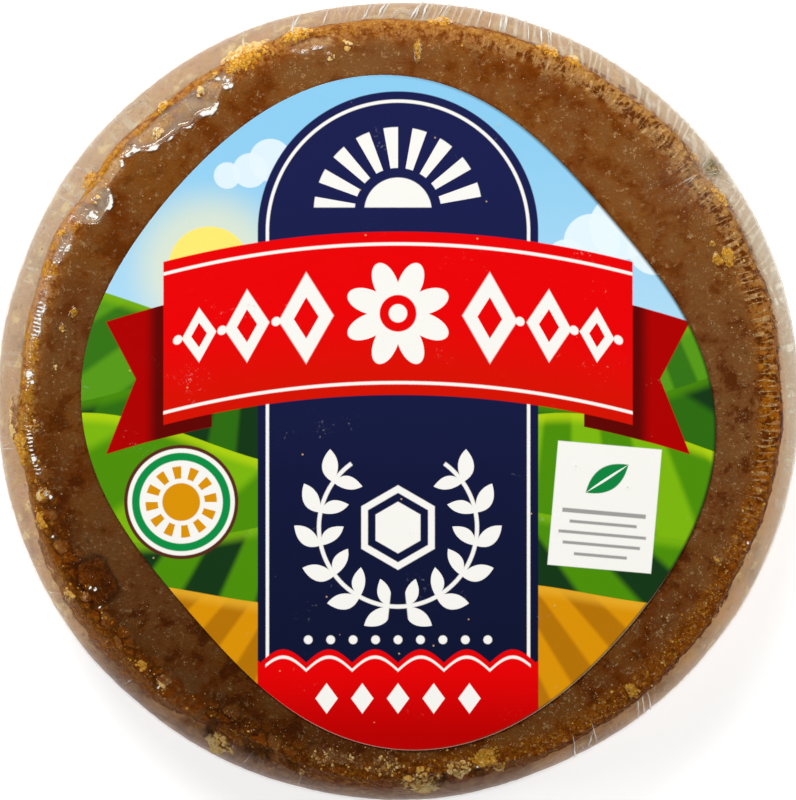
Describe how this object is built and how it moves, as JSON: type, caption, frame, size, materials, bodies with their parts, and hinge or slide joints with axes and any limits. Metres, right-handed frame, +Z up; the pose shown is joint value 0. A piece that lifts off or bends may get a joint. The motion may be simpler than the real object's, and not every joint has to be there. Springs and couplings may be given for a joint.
{
  "type": "round panela",
  "caption": "Low round block of unrefined brown cane sugar with a worn, uneven rim, tight in clear shrink film, with a squarish oval paper label on its top face.",
  "frame": {"origin": "centre of the base, on the surface that the block rests on", "axes": "+Z up through the labelled face, +Y towards the top of the label, +X towards its right"},
  "size_m": [0.16, 0.1595, 0.0336],
  "materials": {
    "panela": "hard unrefined cane sugar, brown and faintly crystalline, with golden crumbs along the rim",
    "film": "thin clear shrink film, glossy, with fine wrinkles round the rim and slanting pleats on the side",
    "label": null
  },
  "bodies": {
    "root": {"panela_in_film": "panela", "label": "label"}
  },
  "joints": []
}
